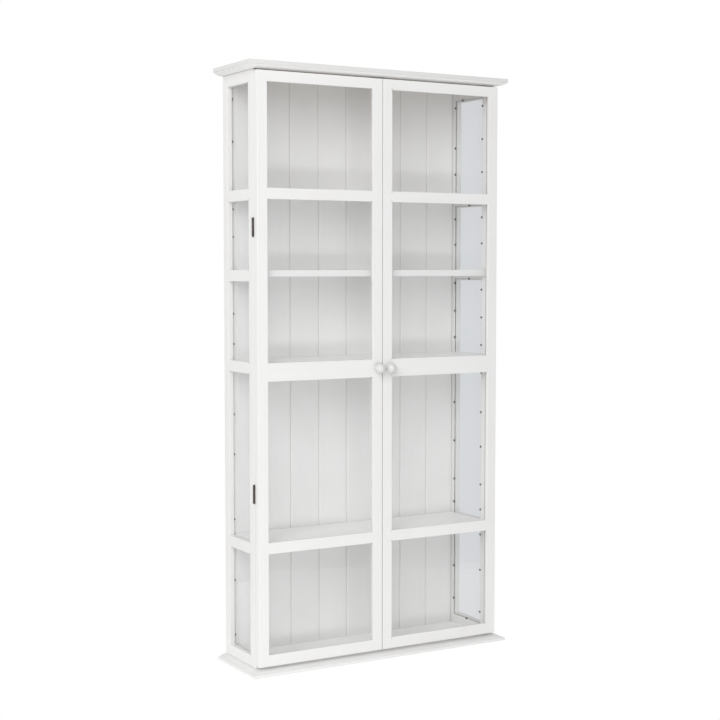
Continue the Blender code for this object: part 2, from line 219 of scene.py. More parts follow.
def painted_wood(
    name, paint, grain, streaks=0.06, knots=0.2, wear=0.12, gloss=0.38, relief=0.00006, ior=1.46
):
    """White satin paint brushed on wood whose grain runs across, deep or upright."""
    material = bpy.data.materials.new(name)
    material.use_nodes = True
    tree = material.node_tree
    shader = tree.nodes["Principled BSDF"]
    paint_coat = add_node(tree, "ShaderNodeGroup")
    paint_coat.node_tree = brushed_paint
    for socket, value in (
        ("Stretch", GRAIN_STRETCH[grain]), ("Paint", paint), ("Undertone", UNDERTONE),
        ("Streaks", streaks), ("Knots", knots), ("Wear", wear), ("Gloss", gloss),
    ):
        paint_coat.inputs[socket].default_value = value
    bump = add_node(
        tree, "ShaderNodeBump", {"Height": paint_coat.outputs["Height"], "Distance": relief}
    )
    tree.links.new(paint_coat.outputs["Colour"], shader.inputs["Base Color"])
    tree.links.new(paint_coat.outputs["Roughness"], shader.inputs["Roughness"])
    tree.links.new(bump.outputs["Normal"], shader.inputs["Normal"])
    shader.inputs["IOR"].default_value = ior
    return material


FRAME_WHITE = (0.80, 0.799, 0.794, 1.0)
paint_across = painted_wood("white_paint_across", FRAME_WHITE, "across")
paint_upright = painted_wood("white_paint_upright", FRAME_WHITE, "upright")
paint_deep = painted_wood("white_paint_deep", FRAME_WHITE, "deep")


def make_piece(name, bm, materials, body, slot, *nodes):
    """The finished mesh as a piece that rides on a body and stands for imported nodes."""
    bmesh.ops.recalc_face_normals(bm, faces=bm.faces)
    mesh = bpy.data.meshes.new(name)
    bm.to_mesh(mesh)
    bm.free()
    for material in materials:
        mesh.materials.append(material)
    piece = bpy.data.objects.new(name, mesh)
    bpy.context.scene.collection.objects.link(piece)
    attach(piece, body)
    if nodes:
        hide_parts(*nodes)
    return piece


def round_shading(piece, angle=40.0):
    """Smooth shading, broken where faces meet at more than an angle in degrees."""
    piece.data.shade_smooth()
    piece.data.set_sharp_from_angle(angle=math.radians(angle))
    evening = piece.modifiers.new("even shading", "WEIGHTED_NORMAL")
    evening.keep_sharp = True


MOULDING_STEPS = 18
NOSE_STEPS = 6
MOULDING_CREASE = 30.0
BASE_FULLNESS = 1.6
BASE_SQUARE_EDGE = 0.008
BASE_NOSE_RADIUS = 0.0032
BASE_RUN = 0.025
SHOULDER_TURN = 70.0


def rounding(degrees):
    """The angles of the points round a small radius, from 0 up to some degrees."""
    return [math.radians(degrees * step / NOSE_STEPS) for step in range(NOSE_STEPS + 1)]


def thumb(run, low, high, first_inset, fullness):
    """Inset and level of each point of a thumb moulding, from its nose inwards."""
    points = []
    for step in range(MOULDING_STEPS + 1):
        share = step / MOULDING_STEPS
        rise = 1 - (1 - share) ** fullness
        points.append((first_inset + (run - first_inset) * share, low + (high - low) * rise))
    return points


def moulded_board(node, edge, slope, edge_paint, slope_paint, inside):
    """A board with a squared edge and a sloping moulding on its front and both ends.

    Edge and slope are insets and levels in order round the profile. The flat face after the slope,
    inside the cabinet, has its own finish.
    """
    low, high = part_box(node)
    bm = bmesh.new()
    rings = []
    for inset, level in edge + slope:
        corners = (
            (low.x + inset, low.y + inset), (high.x - inset, low.y + inset),
            (high.x - inset, high.y), (low.x + inset, high.y),
        )
        rings.append([bm.verts.new((*corner, level)) for corner in corners])
    for number, (lower, upper) in enumerate(zip(rings, rings[1:]), start=1):
        for index in range(4):
            following = (index + 1) % 4
            face = bm.faces.new((lower[index], lower[following], upper[following], upper[index]))
            face.material_index = 1 if number > len(edge) else 0
    bm.faces.new(rings[0])
    bm.faces.new(rings[-1]).material_index = 2
    piece = make_piece(
        f"{node}_moulded", bm, [edge_paint, slope_paint, inside], "carcass", "white_paint", node
    )
    round_shading(piece, MOULDING_CREASE)


base_low, base_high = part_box("base_board")
base_nose = [
    (BASE_NOSE_RADIUS * (1 - math.sin(turn)), base_low.z + BASE_NOSE_RADIUS * (1 - math.cos(turn)))
    for turn in rounding(90.0)
]
shoulder_z = base_low.z + BASE_SQUARE_EDGE
base_shoulder = [
    (BASE_NOSE_RADIUS * (1 - math.cos(turn)), shoulder_z - BASE_NOSE_RADIUS * (1 - math.sin(turn)))
    for turn in rounding(SHOULDER_TURN)
]
base_slope = thumb(BASE_RUN, shoulder_z, base_high.z, BASE_NOSE_RADIUS, BASE_FULLNESS)
# A paler copy of the white for faces that look up, the base's top inside and the shelf tops: painted light
# from above.
lit_top_paint = painted_wood("lit_top_paint_across", (0.94, 0.939, 0.93, 1.0), "across", gloss=0.32)
moulded_board(
    "base_board", base_nose + base_shoulder, base_slope, paint_across, paint_across, lit_top_paint
)

# ---------------------------------------------------------------- side frames
# Two posts and six rails a side, mortised and glued flush, and rebated on the inside for the glass.
# The front posts are let in for the hinge leaves. The rebates' walls are bare, and their near-black colour
# is painted shade for the deep shadow in the rebates.
EASE = 0.0009
EASE_STEPS = 3
SQUARE_ENOUGH = 1.0
SAME_PLACE = 0.00001
JOINT_HAIRLINE = 0.00004
MEETS = 0.0008
# Near-black on bare wood: painted shade for the shadow deep in the glass rebates.
REBATE_SHADE_DARK = (0.11, 0.10, 0.085, 1.0)
SIDES = {"left": -1, "right": 1}
SIDE_NAMES = tuple(SIDES)
rebate_shade_finish = painted_wood(
    "rebate_bare_shaded", REBATE_SHADE_DARK, "upright", streaks=0.3, knots=0.0, wear=0.0, gloss=0.8
)


def cut_timber(name, low, high, cuts, neighbours, material, body, nodes, ease=EASE, glass_axis=None):
    """A squared length of wood less some boxes. Its arrises are eased except where a neighbour meets it.

    The walls of a cut that aren't across the glass axis get the rebate's near-black finish, painted shade
    for the shadow in the rebate.
    """
    marks_at = []
    for axis in range(3):
        places = {round(low[axis], 6), round(high[axis], 6)}
        for corner in (corner for pair in (*cuts, *neighbours) for corner in pair):
            if low[axis] + SAME_PLACE < corner[axis] < high[axis] - SAME_PLACE:
                places.add(round(corner[axis], 6))
        marks_at.append(sorted(places))

    def is_inside(cell):
        return all(0 <= cell[axis] < len(marks_at[axis]) - 1 for axis in range(3))

    def is_wood(cell):
        if not is_inside(cell):
            return False
        middle = [(marks_at[axis][cell[axis]] + marks_at[axis][cell[axis] + 1]) / 2 for axis in range(3)]
        return not any(
            all(near[axis] < middle[axis] < far[axis] for axis in range(3)) for near, far in cuts
        )

    bm = bmesh.new()
    corners = {}

    def corner_at(index):
        if index not in corners:
            corners[index] = bm.verts.new([marks_at[axis][index[axis]] for axis in range(3)])
        return corners[index]

    counts = [range(len(places) - 1) for places in marks_at]
    for cell in ((i, j, k) for i in counts[0] for j in counts[1] for k in counts[2]):
        if not is_wood(cell):
            continue
        for axis in range(3):
            second, third = (axis + 1) % 3, (axis + 2) % 3
            for side in (0, 1):
                beside = list(cell)
                beside[axis] += 2 * side - 1
                if is_wood(beside):
                    continue
                ring = []
                for along, up in ((0, 0), (1, 0), (1, 1), (0, 1)):
                    index = list(cell)
                    index[axis] += side
                    index[second] += along
                    index[third] += up
                    ring.append(corner_at(tuple(index)))
                face = bm.faces.new(ring if side else ring[::-1])
                if glass_axis not in (None, axis) and is_inside(beside):
                    face.material_index = 1

    def is_met(point):
        return any(
            all(near[axis] - MEETS < point[axis] < far[axis] + MEETS for axis in range(3))
            for near, far in neighbours
        )

    bm.normal_update()
    open_edges = [
        edge for edge in bm.edges
        if edge.is_convex and edge.calc_face_angle(0.0) > SQUARE_ENOUGH
        and not is_met((edge.verts[0].co + edge.verts[1].co) / 2)
    ]
    arris_layer = bm.faces.layers.float.new("arris")
    eased = bmesh.ops.bevel(
        bm, geom=open_edges, offset=ease, segments=EASE_STEPS, profile=0.5, affect="EDGES",
        clamp_overlap=True,
    )["faces"]
    for face in eased:
        face[arris_layer] = 1.0
    piece = make_piece(name, bm, [material, rebate_shade_finish], body, "white_paint", *nodes)
    round_shading(piece)
    return piece


def combine(piece, bm, operation):
    """Joins a mesh to a piece or takes it away, and keeps the result as the piece's own mesh."""
    cutter_mesh = bpy.data.meshes.new("cutter")
    bmesh.ops.recalc_face_normals(bm, faces=bm.faces)
    bm.to_mesh(cutter_mesh)
    bm.free()
    cutter = bpy.data.objects.new("cutter", cutter_mesh)
    bpy.context.scene.collection.objects.link(cutter)
    shading = [modifier.name for modifier in piece.modifiers]
    for modifier_name in shading:
        piece.modifiers[modifier_name].show_viewport = False
    cut = piece.modifiers.new("cut", "BOOLEAN")
    cut.operation = operation
    cut.object = cutter
    cut.solver = "EXACT"
    bpy.context.view_layer.update()
    graph = bpy.context.evaluated_depsgraph_get()
    result = bpy.data.meshes.new_from_object(piece.evaluated_get(graph))
    piece.modifiers.remove(cut)
    for modifier_name in shading:
        piece.modifiers[modifier_name].show_viewport = True
    piece.data = result
    bpy.data.objects.remove(cutter)


def cut_out(piece, boxes):
    """Cuts plain boxes out of a finished piece, such as the beds of hinge leaves."""
    bm = bmesh.new()
    for low, high in boxes:
        verts = bmesh.ops.create_cube(bm, size=1.0)["verts"]
        bmesh.ops.scale(bm, verts=verts, vec=Vector(high) - Vector(low))
        bmesh.ops.translate(bm, verts=verts, vec=(Vector(low) + Vector(high)) / 2)
    combine(piece, bm, "DIFFERENCE")


# The bed of a hinge leaf, which takes the leaf's own height and a little play.
LEAF_HEIGHT = 0.051
BED_CLEARANCE = 0.0003
BED_DEPTH = 0.0008


def hinge_beds(side, leaf, outer_x, face_y):
    """The beds that a side's two hinges need, out to the corner of a face of wood across the y axis."""
    beds = []
    for height in ("lower", "upper"):
        low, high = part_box(f"hinge_{side}_{height}_{leaf}")
        middle = (low.z + high.z) / 2
        half = LEAF_HEIGHT / 2 + BED_CLEARANCE
        inner_x = min(abs(low.x), abs(high.x)) - BED_CLEARANCE
        near, far = sorted((SIDES[side] * inner_x, SIDES[side] * (outer_x + BED_CLEARANCE)))
        beds.append(((near, face_y - BED_DEPTH, middle - half), (far, face_y + BED_DEPTH, middle + half)))
    return beds


SIDE_PANES = range(1, 6)
side_panes = {
    side: [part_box(f"side_glass_{side}_{number}") for number in SIDE_PANES] for side in SIDE_NAMES
}
GLASS_LAP = 0.0045
REBATE_LAP = 0.005
GLASS_BED = 0.0003
play = REBATE_LAP - GLASS_LAP
for side in SIDE_NAMES:
    low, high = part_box(f"side_frame_{side}")
    panes = side_panes[side]
    opening_front = panes[0][0].y + GLASS_LAP
    opening_rear = panes[0][1].y - GLASS_LAP
    outer_glass = max(abs(panes[0][0].x), abs(panes[0][1].x)) + GLASS_BED
    rebates = []
    for pane_low, pane_high in panes:
        near, far = sorted((0.0, SIDES[side] * outer_glass))
        rebates.append((
            (near, pane_low.y - play, pane_low.z - play), (far, pane_high.y + play, pane_high.z + play)
        ))
    levels = [low.z]
    for pane_low, pane_high in panes:
        levels += [pane_low.z + GLASS_LAP, pane_high.z - GLASS_LAP]
    levels.append(high.z)
    rails = [
        (
            (low.x, opening_front + JOINT_HAIRLINE, levels[2 * index]),
            (high.x, opening_rear - JOINT_HAIRLINE, levels[2 * index + 1]),
        )
        for index in range(len(panes) + 1)
    ]
    posts = {
        "front": ((low.x, low.y, low.z), (high.x, opening_front, high.z)),
        "rear": ((low.x, opening_rear, low.z), (high.x, high.y, high.z)),
    }
    node = (f"side_frame_{side}",)
    for place_name, (post_low, post_high) in posts.items():
        post = cut_timber(
            f"side_{side}_{place_name}_post", post_low, post_high, rebates, rails, paint_upright,
            "carcass", node, glass_axis=0,
        )
        if place_name == "front":
            outer_x = max(abs(low.x), abs(high.x))
            cut_out(post, hinge_beds(side, "post_leaf", outer_x, low.y))
    for index, (rail_low, rail_high) in enumerate(rails):
        cut_timber(
            f"side_{side}_rail_{index + 1}", rail_low, rail_high, rebates, list(posts.values()),
            paint_deep, "carcass", node, glass_axis=0,
        )

# ---------------------------------------------------------------- side glass
# Five panes a side of 3 mm sheet glass, laid in the rebates from the inside. The cut edges are dull,
# opaque and greener than the faces, and their near-black is partly painted shade for the dark line at each
# pane's edge.


# Old sheet glass: its faces are very slightly wavy, with a trace of wiped-off dust.
WAVE_SCALE = 9.0
WIPE_SCALE = 5.0
WAVE_DEPTH = 0.00004
GLASS_IOR = 1.5
sheet_glass, given, made = new_group(
    "wavy sheet glass", [("Dust", "NodeSocketFloat", 0.01)],
    [("Roughness", "NodeSocketFloat"), ("Height", "NodeSocketFloat")],
)
glass_place = add_node(sheet_glass, "ShaderNodeTexCoord").outputs["Object"]
waves = add_node(
    sheet_glass, "ShaderNodeTexNoise", {"Vector": glass_place, "Scale": WAVE_SCALE, "Detail": 1.0}
).outputs["Fac"]
wiped = add_node(
    sheet_glass, "ShaderNodeTexNoise", {"Vector": glass_place, "Scale": WIPE_SCALE, "Detail": 4.0}
).outputs["Fac"]
dusty = smooth_step(sheet_glass, wiped, 0.55, 0.8)
sheet_glass.links.new(
    arithmetic(sheet_glass, "MULTIPLY", dusty, given.outputs["Dust"]), made.inputs["Roughness"]
)
sheet_glass.links.new(waves, made.inputs["Height"])


def clear_glass(name, tint, dust=0.0, ground=0.0):
    """Glass that bends and mirrors what is seen, and lets lamplight straight through.

    A ground edge has one roughness all over, and isn't seen through.
    """
    material = bpy.data.materials.new(name)
    material.use_nodes = True
    tree = material.node_tree
    shader = tree.nodes["Principled BSDF"]
    look = add_node(tree, "ShaderNodeGroup")
    look.node_tree = sheet_glass
    look.inputs["Dust"].default_value = dust
    bump = add_node(tree, "ShaderNodeBump", {"Height": look.outputs["Height"], "Distance": WAVE_DEPTH})
    shader.inputs["Base Color"].default_value = tint
    if ground:
        shader.inputs["Roughness"].default_value = ground
    else:
        tree.links.new(look.outputs["Roughness"], shader.inputs["Roughness"])
    tree.links.new(bump.outputs["Normal"], shader.inputs["Normal"])
    shader.inputs["Metallic"].default_value = 0.0
    shader.inputs["Transmission Weight"].default_value = 0.0 if ground else 1.0
    shader.inputs["IOR"].default_value = GLASS_IOR
    rays = add_node(tree, "ShaderNodeLightPath")
    unlit = add_node(
        tree, "ShaderNodeMath",
        {0: rays.outputs["Is Shadow Ray"], 1: rays.outputs["Is Diffuse Ray"]}, operation="MAXIMUM",
    )
    through = add_node(tree, "ShaderNodeBsdfTransparent")
    mixer = add_node(
        tree, "ShaderNodeMixShader",
        {0: unlit.outputs[0], 1: shader.outputs["BSDF"], 2: through.outputs["BSDF"]},
    )
    tree.links.new(mixer.outputs[0], tree.nodes["Material Output"].inputs["Surface"])
    return material


pane_face = clear_glass("pane_face", (0.945, 0.951, 0.953, 1.0), dust=0.02)
# Near-black green edges: partly painted shade for the dark line along each pane's edge.
pane_edge_shade = clear_glass("pane_edge_shade", (0.03, 0.045, 0.04, 1.0), ground=0.35)
GLASS_ARRIS = 0.00025
FACES_ALONG = 0.99


def glass_pane(node, body):
    """A sheet of glass with its cut edges rubbed down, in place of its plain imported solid."""
    low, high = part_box(node)
    size = high - low
    thin = min(range(3), key=lambda axis: size[axis])
    bm = bmesh.new()
    bmesh.ops.create_cube(bm, size=1.0)
    bmesh.ops.scale(bm, verts=bm.verts, vec=size)
    bmesh.ops.translate(bm, verts=bm.verts, vec=(low + high) / 2)
    bmesh.ops.bevel(bm, geom=list(bm.edges), offset=GLASS_ARRIS, segments=1, affect="EDGES")
    bm.normal_update()
    for face in bm.faces:
        face.material_index = 0 if abs(face.normal[thin]) > FACES_ALONG else 1
    make_piece(f"{node}_pane", bm, [pane_face, pane_edge_shade], body, "glass", node)


for side in SIDE_NAMES:
    for number in SIDE_PANES:
        glass_pane(f"side_glass_{side}_{number}", "carcass")

# ---------------------------------------------------------------- glazing pins of the side panes
# Small round-headed pins of blackened steel, driven by hand into the frames with their heads lapping
# the glass. Each height is a share of its pane's height, from the bottom pane up.
FRONT_PINS = (
    (0.12, 0.56, 0.93), (0.07, 0.23, 0.47, 0.69, 0.94), (0.14, 0.50, 0.86), (0.42, 0.81),
    (0.25, 0.58, 0.91),
)
REAR_PINS = {
    "left": ((0.10, 0.64), (0.10, 0.49, 0.73), (0.21, 0.58), (0.49, 0.88), (0.48, 0.88)),
    "right": ((0.17, 0.52), (0.08, 0.23, 0.48, 0.73), (0.22, 0.57, 0.94), (0.41, 0.80), (0.25, 0.52, 0.93)),
}
TOP_PINS = {3: 0.47, 4: 0.47, 5: 0.73}
BOTTOM_PINS = {1: 0.5}
PIN_HEAD_RADIUS = 0.0034
PIN_HEAD_HEIGHT = 0.0034
PIN_RINGS = 4
PIN_SIDES = 16
BALL_CREASE = 50.0

# Metal that has been handled: tarnish in clouds, with brighter rubbed spots.
RUBBED_SHINE = 0.1
METAL_RELIEF = 0.00002
tarnish, given, made = new_group(
    "tarnished metal",
    [
        ("Bright", "NodeSocketColor", (0.3, 0.27, 0.24, 1.0)),
        ("Dark", "NodeSocketColor", (0.05, 0.045, 0.04, 1.0)),
        ("Scale", "NodeSocketFloat", 300.0),
        ("Gloss", "NodeSocketFloat", 0.35),
    ],
    [("Colour", "NodeSocketColor"), ("Roughness", "NodeSocketFloat"), ("Height", "NodeSocketFloat")],
)
clouds = add_node(
    tarnish, "ShaderNodeTexNoise",
    {
        "Vector": add_node(tarnish, "ShaderNodeTexCoord").outputs["Object"],
        "Scale": given.outputs["Scale"], "Detail": 4.0,
    },
).outputs["Fac"]
rubbed_metal = smooth_step(tarnish, clouds, 0.42, 0.7)
tarnish.links.new(
    blend_colour(tarnish, rubbed_metal, given.outputs["Dark"], given.outputs["Bright"]),
    made.inputs["Colour"],
)
tarnish.links.new(
    arithmetic(
        tarnish, "SUBTRACT", given.outputs["Gloss"],
        arithmetic(tarnish, "MULTIPLY", rubbed_metal, RUBBED_SHINE),
    ),
    made.inputs["Roughness"],
)
tarnish.links.new(clouds, made.inputs["Height"])


def handled_metal(name, bright, dark, scale, gloss, metallic=0.9):
    """A metal with the tarnish group's colours."""
    material = bpy.data.materials.new(name)
    material.use_nodes = True
    tree = material.node_tree
    shader = tree.nodes["Principled BSDF"]
    look = add_node(tree, "ShaderNodeGroup")
    look.node_tree = tarnish
    for socket, value in (("Bright", bright), ("Dark", dark), ("Scale", scale), ("Gloss", gloss)):
        look.inputs[socket].default_value = value
    bump = add_node(tree, "ShaderNodeBump", {"Height": look.outputs["Height"], "Distance": METAL_RELIEF})
    tree.links.new(look.outputs["Colour"], shader.inputs["Base Color"])
    tree.links.new(look.outputs["Roughness"], shader.inputs["Roughness"])
    tree.links.new(bump.outputs["Normal"], shader.inputs["Normal"])
    shader.inputs["Metallic"].default_value = metallic
    return material


pin_steel = handled_metal(
    "blackened_pin_steel", (0.04, 0.038, 0.036, 1.0), (0.008, 0.0075, 0.007, 1.0), 900.0, 0.6,
    metallic=0.0,
)


def pin_heads(name, places, facing, body):
    """Domed pin heads, each at a place, that all rise towards one direction, as one piece."""
    bm = bmesh.new()
    turn = Vector((0.0, 0.0, 1.0)).rotation_difference(Vector(facing)).to_matrix()
    for spot in places:
        rings = []
        for ring in range(PIN_RINGS):
            lift = math.radians(90.0 * ring / PIN_RINGS)
            rings.append([
                bm.verts.new(turn @ Vector((
                    PIN_HEAD_RADIUS * math.cos(lift) * math.cos(2 * math.pi * step / PIN_SIDES),
                    PIN_HEAD_RADIUS * math.cos(lift) * math.sin(2 * math.pi * step / PIN_SIDES),
                    PIN_HEAD_HEIGHT * math.sin(lift),
                )) + Vector(spot))
                for step in range(PIN_SIDES)
            ])
        crown = bm.verts.new(turn @ Vector((0.0, 0.0, PIN_HEAD_HEIGHT)) + Vector(spot))
        for lower, upper in zip(rings, rings[1:]):
            for step in range(PIN_SIDES):
                after = (step + 1) % PIN_SIDES
                bm.faces.new((lower[step], lower[after], upper[after], upper[step]))
        for step in range(PIN_SIDES):
            bm.faces.new((rings[-1][step], rings[-1][(step + 1) % PIN_SIDES], crown))
        bm.faces.new(rings[0][::-1])
    piece = make_piece(name, bm, [pin_steel], body, "hinge_bronze")
    round_shading(piece, BALL_CREASE)


for side in SIDE_NAMES:
    inner_face = min(abs(corner.x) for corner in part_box(f"side_frame_{side}"))
    spots = []
    for number, (pane_low, pane_high) in enumerate(side_panes[side], start=1):
        tall = pane_high.z - pane_low.z
        wide = pane_high.y - pane_low.y
        head_x = SIDES[side] * inner_face
        spots += [(head_x, pane_low.y, pane_low.z + share * tall) for share in FRONT_PINS[number - 1]]
        spots += [
            (head_x, pane_high.y, pane_low.z + share * tall) for share in REAR_PINS[side][number - 1]
        ]
        if number in TOP_PINS:
            spots.append((head_x, pane_low.y + TOP_PINS[number] * wide, pane_high.z))
        if number in BOTTOM_PINS:
            spots.append((head_x, pane_low.y + BOTTOM_PINS[number] * wide, pane_low.z))
    pin_heads(f"glazing_pins_{side}", spots, (-SIDES[side], 0.0, 0.0), "carcass")

# ---------------------------------------------------------------- shelves
# Four fixed boards of solid wood between the side frames, housed flush with the carcass front. Their
# tops take a paler copy of the paint, painted light for the light that falls on them from above.
SHELF_EASE = 0.0012
for number in range(1, 5):
    low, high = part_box(f"shelf_{number}")
    shelf = cut_timber(
        f"shelf_board_{number}", low, high, (), (), paint_across, "carcass", (f"shelf_{number}",),
        SHELF_EASE,
    )
    # The shelf tops take the paler copy of the white: painted light from above.
    shelf.data.materials[1] = lit_top_paint
    for face in shelf.data.polygons:
        face.material_index = int(face.normal.z > FACES_ALONG)

# ---------------------------------------------------------------- back
# Eight upright boards, tongued and grooved, with a bevel along each face edge that makes a V where
# two boards meet. Their paint is rolled on thinner and is paler than the frames', painted light for the
# dimmer inside; resin warms it along the joints, where painted shade darkens it a little to the left.
# Paler than the frames' white: painted light for the shaded inside of the cabinet.
back_paint = painted_wood(
    "back_paint", (0.855, 0.853, 0.848, 1.0), "upright", streaks=0.07, knots=0.3, wear=0.0, gloss=0.5
)
# Dust and resin gather in each joint, which the brush misses; the darkening sits a little to the left, as
# painted shade on the bevel that faces away from the lamps.
JOINT_REACH = 0.0030
JOINT_DUST_AND_SHADE_SHARE = 0.3
JOINT_SHADE_OFFSET = 0.0009
JOINT_RESIN_AND_SHADE_COLOUR = (0.42, 0.38, 0.32, 1.0)
BACK_BOARDS = range(1, 9)
back_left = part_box("back_board_1")[0].x
board_pitch = (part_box("back_board_8")[1].x - back_left) / len(BACK_BOARDS)
back_tree = back_paint.node_tree
across_back = add_node(
    back_tree, "ShaderNodeSeparateXYZ",
    {"Vector": add_node(back_tree, "ShaderNodeTexCoord").outputs["Object"]},
).outputs["X"]
# Shifting the mask to the left of each joint paints shade on the bevel turned from the lamps, over the
# resin and dust.
from_left = arithmetic(back_tree, "SUBTRACT", across_back, back_left - JOINT_SHADE_OFFSET)
to_joint = arithmetic(back_tree, "PINGPONG", from_left, board_pitch / 2)
joint_dust_and_shade = smooth_step(back_tree, to_joint, JOINT_REACH, 0.0)
back_shader = back_tree.nodes["Principled BSDF"]
back_tree.links.new(
    blend_colour(
        back_tree, arithmetic(back_tree, "MULTIPLY", joint_dust_and_shade, JOINT_DUST_AND_SHADE_SHARE),
        back_shader.inputs["Base Color"].links[0].from_socket, JOINT_RESIN_AND_SHADE_COLOUR,
    ),
    back_shader.inputs["Base Color"],
)
for number in BACK_BOARDS:
    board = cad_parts[f"back_board_{number}"]
    board.data.materials.clear()
    board.data.materials.append(back_paint)

# ---------------------------------------------------------------- top board
# The cornice board. A square fillet runs round the top of its front and ends, over a long thumb
# moulding that falls back to the frames. The moulding's paint is paler and the fillet's darker than the
# frames' white, as painted light and painted shade. Its underside, out of sight in the cabinet, is left
# bare, and its dark brown is also painted shade in the gap above the doors.
TOP_SQUARE_EDGE = 0.0115
TOP_NOSE_RADIUS = 0.0012
TOP_RUN = 0.0285
TOP_FULLNESS = 2.3
top_low, top_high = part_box("top_board")
fillet_z = top_high.z - TOP_SQUARE_EDGE
top_slope = [
    (inset, fillet_z - (level - top_low.z))
    for inset, level in thumb(TOP_RUN, top_low.z, fillet_z, TOP_NOSE_RADIUS, TOP_FULLNESS)
]
top_edge = [
    (TOP_NOSE_RADIUS * (1 - math.cos(turn)), top_high.z - TOP_NOSE_RADIUS * (1 - math.sin(turn)))
    for turn in rounding(90.0)
]
fillet_foot = [
    (TOP_NOSE_RADIUS * (1 - math.cos(turn)), fillet_z + TOP_NOSE_RADIUS * (1 - math.sin(turn)))
    for turn in rounding(SHOULDER_TURN)
]
# The underside is left bare, and its dark brown is also painted shade in the gap above the doors.
bare_wood_gap_shade = painted_wood(
    "bare_wood_gap_shade_across", (0.34, 0.27, 0.21, 1.0), "across", streaks=0.5, knots=0.6, wear=0.0, gloss=0.7
)
# Paler than the frames' white: painted light on the moulding, which faces down.
cornice_lit_paint = painted_wood(
    "cornice_lit_paint", (0.95, 0.949, 0.94, 1.0), "across", gloss=0.25, ior=1.6
)
# Darker than the frames' white: painted shade on the fillet.
fillet_shaded_paint = painted_wood("fillet_shaded_paint", (0.72, 0.718, 0.712, 1.0), "across", streaks=0.12)
moulded_board("top_board", top_edge[::-1] + fillet_foot, top_slope, fillet_shaded_paint, cornice_lit_paint, bare_wood_gap_shade)

# ---------------------------------------------------------------- doors
# Two stiles and five rails a door, jointed flush: a rail at each end and three across the glass, of
# which the deepest carries the knob. They are rebated at the back for four panes.
DOOR_PANES = range(1, 5)
RAILS = ("bottom_rail", "lower_rail", "lock_rail", "upper_rail", "top_rail")
STILES = ("hinge_stile", "meeting_stile")
for side in SIDE_NAMES:
    body = f"door_{side}"
    rebates = []
    for number in DOOR_PANES:
        low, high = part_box(f"{body}_glass_{number}")
        rebates.append((
            (low.x - play, low.y - GLASS_BED, low.z - play), (high.x + play, 0.0, high.z + play)
        ))
    stile_boxes = {name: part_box(f"{body}_{name}") for name in STILES}
    inner_edges = sorted(
        (corner.x for name in STILES for corner in stile_boxes[name]), key=abs
    )[1:3]
    near, far = sorted(inner_edges)
    rail_boxes = {}
    for name in RAILS:
        low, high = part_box(f"{body}_{name}")
        rail_boxes[name] = (
            Vector((near + JOINT_HAIRLINE, low.y, low.z)), Vector((far - JOINT_HAIRLINE, high.y, high.z))
        )
    for name, (low, high) in stile_boxes.items():
        stile = cut_timber(
            f"{body}_{name}_wood", low, high, rebates, list(rail_boxes.values()), paint_upright, body,
            (f"{body}_{name}",), glass_axis=1,
        )
        if name == "hinge_stile":
            cut_out(stile, hinge_beds(side, "door_leaf", max(abs(low.x), abs(high.x)), high.y))
    for name, (low, high) in rail_boxes.items():
        cut_timber(
            f"{body}_{name}_wood", low, high, rebates, list(stile_boxes.values()), paint_across, body,
            (f"{body}_{name}",), glass_axis=1,
        )

# ---------------------------------------------------------------- door glass
# Four panes a door of the same 3 mm sheet glass, cut to the rebates with dull edges. They are laid in
# from behind, and the stiles and rails lap them all round.
for side in SIDE_NAMES:
    for number in DOOR_PANES:
        glass_pane(f"door_{side}_glass_{number}", f"door_{side}")

# ---------------------------------------------------------------- hinges
# Two butt hinges a door, of bronzed steel. The leaves are let into the stile and the post, and the
# knuckles stand at the outer corner. Each leaf has three countersunk screws with slotted heads.
hinge_bronze = handled_metal(
    "hinge_bronze", (0.20, 0.17, 0.145, 1.0), (0.045, 0.038, 0.033, 1.0), 450.0, 0.42
)
screw_bronze = handled_metal(
    "screw_bronze", (0.42, 0.37, 0.32, 1.0), (0.17, 0.15, 0.13, 1.0), 900.0, 0.36
)
SCREW_RADIUS = 0.0027
SCREW_TOP_SHARE = 0.92
SCREW_PROUD = 0.0001
SCREW_LENGTH = 0.0008
SCREW_TURN = 0.7
SLOT_WIDTH = 0.0007
SLOT_DEPTH = 0.0004
SCREW_SIDES = 24
SCREW_HEIGHTS = (-0.0175, 0.0, 0.0175)
LEAF_SCREW_INSET = 0.0048
# Where each leaf's bearing face lies across the y axis.
LEAF_FACES = {"post_leaf": -0.0682, "door_leaf": -0.0688}


def slotted_screws(name, places, facing, body, radius=SCREW_RADIUS):
    """Countersunk heads across the y axis, each at a place and turned by an angle, as one piece."""
    bm = bmesh.new()
    slots = bmesh.new()
    for (x, y, z), turn in places:
        rings = []
        for reach, level in (
            (1.0, SCREW_PROUD - SCREW_LENGTH), (1.0, 0.0), (SCREW_TOP_SHARE, SCREW_PROUD)
        ):
            rings.append([
                bm.verts.new((
                    x + reach * radius * math.cos(2 * math.pi * step / SCREW_SIDES), y + facing * level,
                    z + reach * radius * math.sin(2 * math.pi * step / SCREW_SIDES),
                ))
                for step in range(SCREW_SIDES)
            ])
        for lower, upper in zip(rings, rings[1:]):
            for step in range(SCREW_SIDES):
                after = (step + 1) % SCREW_SIDES
                bm.faces.new((lower[step], lower[after], upper[after], upper[step]))
        bm.faces.new(rings[0][::-1])
        bm.faces.new(rings[-1])
        verts = bmesh.ops.create_cube(slots, size=1.0)["verts"]
        bmesh.ops.scale(slots, verts=verts, vec=(4 * radius, 2 * SLOT_DEPTH, SLOT_WIDTH))
        bmesh.ops.rotate(slots, verts=verts, cent=(0.0, 0.0, 0.0), matrix=Matrix.Rotation(turn, 3, "Y"))
        bmesh.ops.translate(slots, verts=verts, vec=(x, y + facing * SCREW_PROUD, z))
    piece = make_piece(name, bm, [screw_bronze], body, "hinge_bronze")
    combine(piece, slots, "DIFFERENCE")


